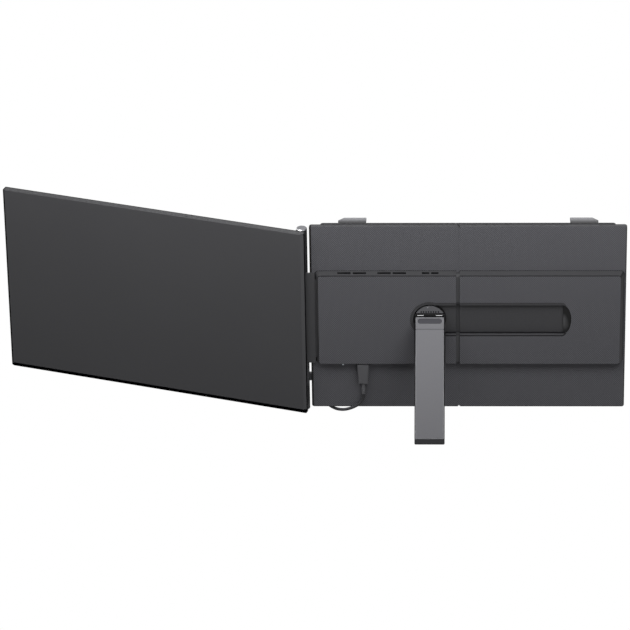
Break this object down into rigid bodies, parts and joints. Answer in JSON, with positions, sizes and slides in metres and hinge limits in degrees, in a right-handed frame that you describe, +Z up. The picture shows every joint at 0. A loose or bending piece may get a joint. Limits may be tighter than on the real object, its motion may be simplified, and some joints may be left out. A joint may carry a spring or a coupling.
{
  "type": "laptop screen extender",
  "caption": "Flat dark display hinged to the left edge of a two-part sliding bracket plate, with hooks over a laptop lid, a folding support leg and a short jumper lead.",
  "frame": {"origin": "on the left front pad's face that rests against the laptop's lid, midway up the bracket plate and 80 mm in from its left edge", "axes": "+X to the right along the plate as seen from behind, +Y out of the pads towards the laptop, +Z up along the plate"},
  "size_m": [0.6371, 0.2024, 0.2166],
  "materials": {
    "woven_dark_plastic": "fine diagonal weave",
    "smooth_dark_plastic": "satin",
    "black_plastic": "matte",
    "soft_pad": "matte",
    "painted_hook_metal": "satin",
    "grey_leg_metal": "anodised satin",
    "plain_steel": "satin",
    "screen_glass": "gloss",
    "display_stack": "gloss",
    "circuit_green": "gloss",
    "socket_metal": "satin",
    "lamp_plastic": "gloss",
    "lead_jacket": "satin"
  },
  "bodies": {
    "base_left": {"left_back_plate": "woven_dark_plastic", "left_front_frame": "smooth_dark_plastic", "left_front_pad": "soft_pad", "left_frame_screws": "plain_steel", "left_housing_cover": "woven_dark_plastic", "slide_rails": "plain_steel", "slide_sleeve": "smooth_dark_plastic", "hinge_arm": "smooth_dark_plastic", "arm_bolts": "plain_steel", "hinge_pin": "plain_steel", "circuit_board": "circuit_green", "usb_socket_left": "socket_metal", "usb_socket_right": "socket_metal", "hdmi_socket": "socket_metal", "status_lamp": "lamp_plastic", "button_switches": "black_plastic", "jumper_plug": "black_plastic", "jumper_plug_shell": "socket_metal", "jumper_relief": "lead_jacket", "jumper_lead": "lead_jacket", "jumper_end": "black_plastic"},
    "base_right": {"right_back_plate": "woven_dark_plastic", "right_front_frame": "smooth_dark_plastic", "right_front_pad": "soft_pad", "right_frame_screws": "plain_steel", "rail_bushes": "black_plastic", "right_housing_cover": "woven_dark_plastic"},
    "left_hook_body": {"left_hook": "painted_hook_metal", "left_hook_liner": "soft_pad"},
    "right_hook_body": {"right_hook": "painted_hook_metal", "right_hook_liner": "soft_pad"},
    "stand_hub_body": {"stand_hub": "smooth_dark_plastic", "hub_retainer": "plain_steel", "leg_pin": "plain_steel"},
    "stand_leg": {"leg_core": "black_plastic", "leg_knuckles": "plain_steel", "leg_cover": "grey_leg_metal", "leg_foot": "soft_pad"},
    "panel": {"panel_bezel": "black_plastic", "screen_pane": "screen_glass", "display_module": "display_stack", "backlight": "display_stack", "driver_board": "circuit_green", "panel_rear_cover": "smooth_dark_plastic", "hinge_screws": "plain_steel", "upper_barrel": "smooth_dark_plastic", "lower_barrel": "smooth_dark_plastic", "upper_barrel_cap": "grey_leg_metal", "lower_barrel_cap": "grey_leg_metal"},
    "power_button_body": {"power_button": "black_plastic"},
    "menu_button_body": {"menu_button": "black_plastic"}
  },
  "joints": [
    {"name": "panel_hinge", "type": "hinge", "parent": "base_left", "child": "panel", "pos_m": [-0.0875, -0.0043, 0], "axis": [0, 0, 1], "range_deg": [-162, 18]},
    {"name": "base_slide", "type": "slide", "parent": "base_left", "child": "base_right", "axis": [1, 0, 0], "range_m": [0, 0.05]},
    {"name": "left_hook_slide", "type": "slide", "parent": "base_left", "child": "left_hook_body", "axis": [0, 0, 1], "range_m": [0, 0.025]},
    {"name": "right_hook_slide", "type": "slide", "parent": "base_right", "child": "right_hook_body", "axis": [0, 0, 1], "range_m": [0, 0.025]},
    {"name": "stand_swivel", "type": "hinge", "parent": "base_left", "child": "stand_hub_body", "pos_m": [0.0414, -0.0095, 0.001], "axis": [0, 1, 0], "range_deg": [-90, 0]},
    {"name": "stand_flip", "type": "hinge", "parent": "stand_hub_body", "child": "stand_leg", "pos_m": [0.0414, -0.01295, 0.0056], "axis": [-1, 0, 0], "range_deg": [-47, 28]},
    {"name": "power_press", "type": "slide", "parent": "base_left", "child": "power_button_body", "axis": [0, 0, 1], "range_m": [0, 0.0005], "stiffness_N_per_m": 4000, "springref_m": -0.0001},
    {"name": "menu_press", "type": "slide", "parent": "base_left", "child": "menu_button_body", "axis": [0, 0, 1], "range_m": [0, 0.0005], "stiffness_N_per_m": 4000, "springref_m": -0.0001}
  ]
}
